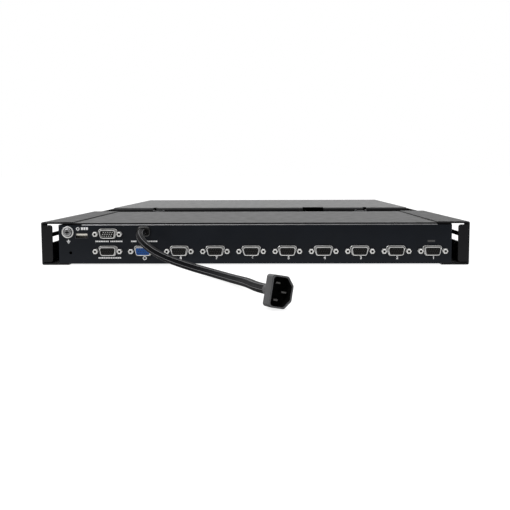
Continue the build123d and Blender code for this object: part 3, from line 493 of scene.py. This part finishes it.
# ---- the plug's mouth ---------------------------------------------------------------------------
PLUG_SHORT, PLUG_LONG, PLUG_WALL, PLUG_DEPTH = 16.2, 22.8, 1.2, 10.9
PLUG_CUT_SHORT, PLUG_CUT_LONG = 4.6, 6.0  # the two cut corners of its outline
PLUG_LINING_IN, PLUG_LINING_TOP = PLUG_WALL + 0.04, -0.45  # how far inside the outline, and where it begins
PLUG_RIM = (  # how far inside the outline, and how far out of the mouth
    (-0.02, -0.6), (0.12, -0.12), (0.4, 0.06), (0.9, 0.06), (1.16, -0.1), (1.22, -0.5),
)
PLUG_TURN = (
    Matrix.Rotation(math.radians(20), 4, "Z")
    @ Matrix.Rotation(math.radians(4), 4, "X")
    @ Matrix.Rotation(math.radians(-11), 4, "Y")
)
PLUG_PLACE = Matrix.Translation(Vector((-25.0, 606.0, 12.50)) * MM) @ PLUG_TURN


def rounded(points, radius, steps=5):
    """A closed outline with its corners rounded."""
    loop = []
    for i, corner in enumerate(points):
        corner = Vector(corner)
        before = (Vector(points[i - 1]) - corner).normalized()
        after = (Vector(points[(i + 1) % len(points)]) - corner).normalized()
        half = before.angle(after) / 2
        centre = corner + (before + after).normalized() * (radius / math.sin(half))
        start = corner + before * (radius / math.tan(half)) - centre
        end = corner + after * (radius / math.tan(half)) - centre
        for k in range(steps + 1):
            spoke = start.lerp(end, k / steps)
            loop.append(centre + spoke.normalized() * radius)
    return loop


def plug_loop(inset, radius=2.2):
    """The plug's outline as (x, z) in its own frame: two corners are cut on one long side."""
    a, b = PLUG_SHORT / 2 - inset, PLUG_LONG / 2 - inset
    cut_a, cut_b = PLUG_CUT_SHORT - inset * 0.4, PLUG_CUT_LONG - inset * 0.4
    outline = [(a, -b), (-a + cut_a, -b), (-a, -b + cut_b), (-a, b - cut_b), (-a + cut_a, b), (a, b)]
    return rounded(outline, radius)


def build_plug_bands(bm, steps):
    """Bands between insets of the outline at their depths, in the plug's place."""
    rings = []
    for inset, y in steps:
        rings.append([bm.verts.new(PLUG_PLACE @ (Vector((px, y, pz)) * MM)) for px, pz in plug_loop(inset)])
    for first, second in zip(rings, rings[1:]):
        for i in range(len(first)):
            j = (i + 1) % len(first)
            bm.faces.new((first[i], first[j], second[j], second[i]))
    return rings


def build_plug_rim(bm):
    """The rounded rim round the plug's mouth, in lighter vinyl as a painted highlight."""
    build_plug_bands(bm, PLUG_RIM)


def build_plug_lining(bm):
    """The walls and floor of the mouth, from which the blades stand, in near black as painted shade."""
    rings = build_plug_bands(bm, [(PLUG_LINING_IN, PLUG_LINING_TOP), (PLUG_LINING_IN, -PLUG_DEPTH)])
    bm.faces.new(rings[-1])


# ---- power cord ---------------------------------------------------------------------------------
CORD_DIAMETER = 7.8 * MM
CORD_ROUTE = [  # the part's own points, seven of them 0.3 to 1.5 mm higher, as the photograph shows
    (115.4, 340.0, 34.0),
    (115.1, 352.5, 33.8),
    (113.0, 366.5, 31.2),
    (107.4, 378.5, 26.2),
    (97.5, 389.5, 20.1),
    (84.5, 399.5, 14.6),
    (68.5, 410.0, 10.1),
    (52.0, 421.5, 6.6),
    (37.5, 436.0, 4.7),
    (25.5, 455.0, 4.1),
    (15.5, 478.5, 4.7),
    (7.0, 505.5, 6.5),
    (0.0, 534.5, 8.9),
    (-7.94, 559.13, 9.01),
    (-15.45, 579.75, 10.55),
]


def make_cord():
    """The cord's jacket along its route, in place of the CAD cord, which is hidden."""
    curve = bpy.data.curves.new("power_cord_jacket", "CURVE")
    curve.dimensions = "3D"
    curve.bevel_depth = CORD_DIAMETER / 2
    curve.bevel_resolution = 8
    curve.resolution_u = 16
    curve.use_fill_caps = True
    spline = curve.splines.new("NURBS")
    spline.points.add(len(CORD_ROUTE) - 1)
    for point, place in zip(spline.points, CORD_ROUTE):
        point.co = (*(Vector(place) * MM), 1)
    spline.order_u = 3
    spline.use_endpoint_u = True
    cord = add_piece("power_cord_jacket", curve, "chassis", "cord_jacket")
    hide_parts("power_cord")


plug_rim = add_piece("plug_rim", mesh_of("plug_rim", build_plug_rim), "chassis", "rim_vinyl_painted_highlight")
# the lining's near black is painted shade inside the plug's mouth
plug_lining = add_piece(
    "plug_lining", mesh_of("plug_lining", build_plug_lining), "chassis", "black_and_painted_shade"
)
make_cord()


# ---- marks on the port panel --------------------------------------------------------------------
INK_Y = (PANEL_Y, PANEL_Y + 0.06 * MM)
LABELS = (  # lowest and highest X, lowest and highest Z, number of blocks
    (150.2, 164.4, 23.7, 25.1, 8),
    (136.0, 149.0, 23.7, 25.1, 7),
    (137.8, 161.6, 6.6, 8.0, 13),
    (99.9, 110.6, 23.7, 25.1, 6),
    (121.6, 127.2, 23.7, 25.1, 4),
    (171.4, 179.2, 36.3, 39.0, 3),
)
FAINT_LABEL = (-185.0, -177.5, 23.3, 25.3)
RINGS = ((182.0, 37.4, 1.8, 1.0), (113.2, 7.0, 2.0, 1.3))  # X, Z, radius outside and inside
EARTH_X, EARTH_TOP = 191.9, 24.9  # the earth sign's middle and its longest bar's upper edge
EARTH_HALVES, EARTH_PITCH, EARTH_BAR = (1.8, 1.2, 0.6), 1.1, 0.6  # its bars' half lengths, pitch and height
EARTH_STEM = (0.4, 1.4)  # its stem's half width and height
DIGIT_SIZE, DIGIT_WEIGHT, DIGIT_SHIFT, DIGIT_Z = 4.0, 0.17, -1.4, 7.1
BLOCK_SHARE = 0.78  # of a label's pitch; the rest is the gap to the next block


def ink_bar(bm, x0, x1, z0, z1):
    """A printed rectangle on the port panel, in millimetres."""
    add_box(bm, (x0 * MM, INK_Y[0], z0 * MM), (x1 * MM, INK_Y[1], z1 * MM))


def ink_words(bm, x0, x1, z0, z1, letters):
    """A row of short blocks that stands for a line of print, with no lettering in it."""
    pitch = (x1 - x0) / letters
    for i in range(letters):
        ink_bar(bm, x0 + i * pitch, x0 + (i + BLOCK_SHARE) * pitch, z0, z1)


def ink_ring(bm, x, z, outer, inner, steps=20):
    """A flat ring, in millimetres."""
    for i in range(steps):
        corners = []
        for radius, step in ((outer, i), (outer, i + 1), (inner, i + 1), (inner, i)):
            angle = 2 * math.pi * step / steps
            corners.append(
                bm.verts.new(
                    ((x + radius * math.cos(angle)) * MM, INK_Y[1], (z + radius * math.sin(angle)) * MM)
                )
            )
        bm.faces.new(corners)


def build_marks(bm):
    """Plain bars where the panel's labels are, and three generic symbols."""
    for label in LABELS:
        ink_words(bm, *label)
    for ring in RINGS:
        ink_ring(bm, *ring)
    for i, half in enumerate(EARTH_HALVES):
        top = EARTH_TOP - i * EARTH_PITCH
        ink_bar(bm, EARTH_X - half, EARTH_X + half, top - EARTH_BAR, top)
    half, height = EARTH_STEM
    ink_bar(bm, EARTH_X - half, EARTH_X + half, EARTH_TOP, EARTH_TOP + height)


def glyph(body, size, offset=0.0):
    """A flat mesh of a letter or digit in the XY plane, centred on the origin, size in millimetres."""
    text = bpy.data.curves.new("glyph", "FONT")
    text.body = body
    text.size = size * MM
    text.align_x, text.align_y = "CENTER", "CENTER"
    text.offset = offset * MM
    holder = bpy.data.objects.new("glyph", text)
    bpy.context.scene.collection.objects.link(holder)
    bpy.context.view_layer.update()
    mesh = bpy.data.meshes.new_from_object(holder)
    bpy.data.objects.remove(holder)
    return mesh


def digit_meshes():
    """The ports' numbers, one under each port."""
    stand = Matrix.Rotation(math.pi, 4, "Z") @ Matrix.Rotation(math.pi / 2, 4, "X")
    digits = []
    for number in range(1, 9):
        place = MOUNTS[f"port_{number}_screws"]
        mesh = glyph(str(number), DIGIT_SIZE, DIGIT_WEIGHT)
        mesh.transform(Matrix.Translation((place.x + DIGIT_SHIFT * MM, INK_Y[1], DIGIT_Z * MM)) @ stand)
        digits.append(mesh)
    return digits


def join(name, meshes):
    """One mesh out of several."""
    bm = bmesh.new()
    for mesh in meshes:
        bm.from_mesh(mesh)
    joined = bpy.data.meshes.new(name)
    bm.to_mesh(joined)
    bm.free()
    return joined


def make_marks():
    """The white marks, the ports' numbers and one faint label."""
    add_piece("panel_marks", mesh_of("panel_marks", build_marks), "chassis", "white_ink")
    add_piece("port_numbers", join("port_numbers", digit_meshes()), "chassis", "white_ink")
    faint = mesh_of("faint_mark", lambda bm: ink_bar(bm, *FAINT_LABEL))
    add_piece("faint_mark", faint, "chassis", "faint_ink")


make_marks()


BEND_RADIUS, BEND_ENDS = 0.9 * MM, (-187.2 * MM, 177.8 * MM)
BEND_OUT = 0.25 * MM  # how far it stands out of the panel's face
BEND_UP, BEND_DOWN = 0.7 * MM, 0.4 * MM  # how far it reaches above and below the panel's top edge


def build_top_bend(bm):
    """The panel's top edge, bent back under the cover in a small radius, in lighter metal as a painted
    highlight.
    """
    steps = 6
    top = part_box("rear_panel")[1].z
    centre_y, centre_z = PANEL_Y + BEND_OUT - BEND_RADIUS, top + BEND_UP - BEND_RADIUS
    outline = []
    for i in range(steps + 1):
        angle = math.pi / 2 * (1 - i / steps)
        outline.append((centre_y + BEND_RADIUS * math.cos(angle), centre_z + BEND_RADIUS * math.sin(angle)))
    outline.append((centre_y, top - BEND_DOWN))
    ends = [[bm.verts.new((x, y, z)) for y, z in outline] for x in BEND_ENDS]
    count = len(outline)
    for i in range(count):
        bm.faces.new((ends[0][i], ends[0][(i + 1) % count], ends[1][(i + 1) % count], ends[1][i]))
    for end in ends:
        bm.faces.new(end)


# its lighter metal is a painted highlight along the bend
add_piece("panel_top_bend", mesh_of("panel_top_bend", build_top_bend), "chassis", "bare_bend")


# ---- keyboard legends and the screen's marks ----------------------------------------------------
KEY_PITCH = (16.6, 18.2)
KEYS_LEFT, KEYS_REAR = -22.5 * KEY_PITCH[0] / 2, -22.0
KEY_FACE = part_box("key_row_1")[1].z / MM
NAV, PAD = 15.25, 18.5  # where the cursor keys and the number pad begin, in key pitches
LEGEND_SIZE, LEGEND_EDGE, LEGEND_RISE = 5.2, 3.9, 2.2  # on a key's face, in millimetres
BAR_LENGTHS, BAR_HEIGHT, INK_THICK = {"-": 5.2, "_": 7.0}, 0.9, 0.04


def key_run(start, legends, widths=None):
    """Keys side by side, as (left edge, width, legend) in key pitches."""
    keys = []
    for i, legend in enumerate(legends):
        width = widths[i] if widths else 1
        keys.append((start, width, legend))
        start += width
    return keys


LEGENDS = [
    key_run(0, "-") + key_run(2, "----") + key_run(6.5, "----") + key_run(11, "----") + key_run(NAV, "---"),
    key_run(0, "`1234567890-=_", [1] * 13 + [2]) + key_run(NAV, "---") + key_run(PAD, "_/*-"),
    key_run(0, "_QWERTYUIOP[]_", [1.5] + [1] * 12 + [1.5]) + key_run(NAV, "---") + key_run(PAD, "789+"),
    key_run(0, "_ASDFGHJKL;'_", [1.75] + [1] * 11 + [2.25]) + key_run(PAD, "456_"),
    key_run(0, "_ZXCVBNM,./_", [2.25] + [1] * 10 + [2.75]) + key_run(NAV + 1, "^") + key_run(PAD, "123_"),
    key_run(0, "__- -__-", [1.25] * 3 + [6.25] + [1.25] * 4)
    + key_run(NAV, "<v>")
    + key_run(PAD, "0._", [2, 1, 1]),
]


def legend_mesh(row):
    """One row's legends: letters and digits, and short bars for the keys with names."""
    meshes = []
    y = KEYS_REAR - (row + 0.5) * KEY_PITCH[1]
    bars = bmesh.new()
    for left, width, legend in LEGENDS[row]:
        x = KEYS_LEFT + (left + width / 2) * KEY_PITCH[0]
        edge = x - width * KEY_PITCH[0] / 2 + LEGEND_EDGE
        minus_key = row == 1 and legend == "-" and left < NAV  # the one "-" that is a real legend
        if legend in "_-" and not minus_key:
            low = Vector((edge, y + LEGEND_RISE, KEY_FACE)) * MM
            add_box(bars, low, low + Vector((BAR_LENGTHS[legend], BAR_HEIGHT, INK_THICK)) * MM)
        elif legend != " ":
            mesh = glyph(legend, LEGEND_SIZE)
            place = Vector((edge + 2.0, y + LEGEND_RISE, KEY_FACE + INK_THICK)) * MM
            mesh.transform(Matrix.Translation(place))
            meshes.append(mesh)
    mesh = bpy.data.meshes.new("bars")
    bars.to_mesh(mesh)
    bars.free()
    return join(f"key_legends_{row + 1}", meshes + [mesh])


for key_row in range(6):
    number = key_row + 1
    add_piece(f"key_legends_{number}", legend_mesh(key_row), f"key_row_{number}", "white_ink")


BUTTON_MARKS_X, BUTTON_MARKS_Y = (-30.0, -15.0, 0.0, 22.0), (-322.6, -322.0)
BUTTON_MARK_HALF, SCREEN_INK = 1.6, 0.05  # half a bar's length, and how thick the marks are
LAMP_MARK = ((31.0, 32.6), (-327.8, -326.2))  # its X and Y
SCREEN_HALF_W, SCREEN_HALF_D, SCREEN_Y = 169.0, 135.0, -163.0
BORDER_OUT, BORDER_IN = 2.0, -1.5  # how far the unlit border reaches past the picture's edge, and into it


def build_screen_marks(bm):
    """Small bars beside the menu buttons and a square lamp, on the bezel's inner face."""
    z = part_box("lid_bezel")[0].z / MM
    marks = [((x - BUTTON_MARK_HALF, x + BUTTON_MARK_HALF), BUTTON_MARKS_Y) for x in BUTTON_MARKS_X]
    for (x0, x1), (y0, y1) in marks + [LAMP_MARK]:
        add_box(bm, Vector((x0, y0, z - SCREEN_INK)) * MM, Vector((x1, y1, z)) * MM)


def build_screen_border(bm):
    """The dark unlit border between the bezel and the picture."""
    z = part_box("lcd_panel")[0].z / MM - SCREEN_INK
    rings = []
    for past in (BORDER_OUT, BORDER_IN):
        a, b = SCREEN_HALF_W + past, SCREEN_HALF_D + past
        corners = ((a, b), (-a, b), (-a, -b), (a, -b))
        rings.append([bm.verts.new(Vector((x, SCREEN_Y + y, z)) * MM) for x, y in corners])
    for i in range(4):
        j = (i + 1) % 4
        bm.faces.new((rings[0][i], rings[0][j], rings[1][j], rings[1][i]))


add_piece("screen_marks", mesh_of("screen_marks", build_screen_marks), "lid", "white_ink")
add_piece("screen_border", mesh_of("screen_border", build_screen_border), "lid", "black_and_painted_shade")


# ---- floor, light and world ---------------------------------------------------------------------
FLOOR_SEEN, FLOOR_SHADE = 0.84, 0.34  # the pale floor's own light, and what shadows can take from it
FLOOR_NEAR, FLOOR_FAR = 0.62, 0.01  # its light on the object, close to the ports and far from them
FLOOR_FALL = (0.35, 0.52)  # the stretch of Y over which that light falls off
DIM_SIDE, BRIGHT_SIDE = 0.22, 1.06  # how bright the studio is behind the camera and beyond the object
SIDE_TURN = (0.35, -0.55)  # between them, as the Y of the direction
LIGHTS = (  # name, place, what it is aimed at, size, power
    ("overhead", (0, 0.2, 1.7), (0, 0.2, 0), (2.2, 1.6), 14),
    ("port_side", (0.9, 1.9, 1.2), (0, 0.34, 0.02), (1.0, 0.8), 16),
)


def make_floor():
    """A large pale floor. It is kept dimmer in reflections, as a studio's floor is beside its lamps."""
    mesh = mesh_of("floor", lambda bm: bmesh.ops.create_grid(bm, x_segments=1, y_segments=1, size=30))
    floor = bpy.data.objects.new("floor", mesh)
    floor.location.z = -0.05 * MM
    bpy.context.scene.collection.objects.link(floor)
    pale = Finish("floor", (FLOOR_SHADE, FLOOR_SHADE, FLOOR_SHADE), 0.8, specular=0.0)
    pale.roughness_from(pale.noise(60 * MM, 3), 0.75, 0.85)
    path = pale.node("ShaderNodeLightPath")
    place, split = pale.node("ShaderNodeTexCoord"), pale.node("ShaderNodeSeparateXYZ")
    fall = pale.node("ShaderNodeMapRange", interpolation_type="SMOOTHSTEP")
    fall.inputs["From Min"].default_value, fall.inputs["From Max"].default_value = FLOOR_FALL
    fall.inputs["To Min"].default_value, fall.inputs["To Max"].default_value = FLOOR_NEAR, FLOOR_FAR
    glow = pale.node("ShaderNodeMix")
    glow.inputs["B"].default_value = FLOOR_SEEN
    pale.link(place.outputs["Object"], split.inputs["Vector"])
    pale.link(split.outputs["Y"], fall.inputs["Value"])
    pale.link(fall.outputs["Result"], glow.inputs["A"])
    pale.link(path.outputs["Is Camera Ray"], glow.inputs["Factor"])
    pale.link(glow.outputs["Result"], pale.shader.inputs["Emission Strength"])
    pale.shader.inputs["Emission Color"].default_value = (1, 1, 1, 1)
    floor.data.materials.append(pale.material)


def make_light(name, place, target, size, power):
    """A soft rectangular lamp."""
    data = bpy.data.lights.new(name, "AREA")
    data.shape, data.size, data.size_y = "RECTANGLE", size[0], size[1]
    data.energy = power
    light = bpy.data.objects.new(name, data)
    light.location = place
    light.rotation_mode = "QUATERNION"
    light.rotation_quaternion = (Vector(target) - Vector(place)).to_track_quat("-Z", "Y")
    bpy.context.scene.collection.objects.link(light)


def make_world():
    """White wherever the camera sees it; as light, bright beyond the object and dimmer behind the camera."""
    world = bpy.data.worlds.new("studio")
    world.use_nodes = True
    tree = world.node_tree
    background = tree.nodes["Background"]
    background.inputs["Color"].default_value = (1, 1, 1, 1)
    coordinates = tree.nodes.new("ShaderNodeTexCoord")
    split = tree.nodes.new("ShaderNodeSeparateXYZ")
    side = tree.nodes.new("ShaderNodeMapRange")
    side.interpolation_type = "SMOOTHSTEP"
    side.inputs["From Min"].default_value, side.inputs["From Max"].default_value = SIDE_TURN
    side.inputs["To Min"].default_value, side.inputs["To Max"].default_value = DIM_SIDE, BRIGHT_SIDE
    path = tree.nodes.new("ShaderNodeLightPath")
    seen = tree.nodes.new("ShaderNodeMix")
    seen.inputs["B"].default_value = 1.0
    tree.links.new(coordinates.outputs["Generated"], split.inputs["Vector"])
    tree.links.new(split.outputs["Y"], side.inputs["Value"])
    tree.links.new(side.outputs["Result"], seen.inputs["A"])
    tree.links.new(path.outputs["Is Camera Ray"], seen.inputs["Factor"])
    tree.links.new(seen.outputs["Result"], background.inputs["Strength"])
    bpy.context.scene.world = world


def make_studio():
    """A pale floor, two soft lamps and a white surround, with plain colours."""
    make_floor()
    for light in LIGHTS:
        make_light(*light)
    make_world()
    bpy.context.scene.view_settings.view_transform = "Standard"
    bpy.context.scene.view_settings.look = "None"


make_studio()
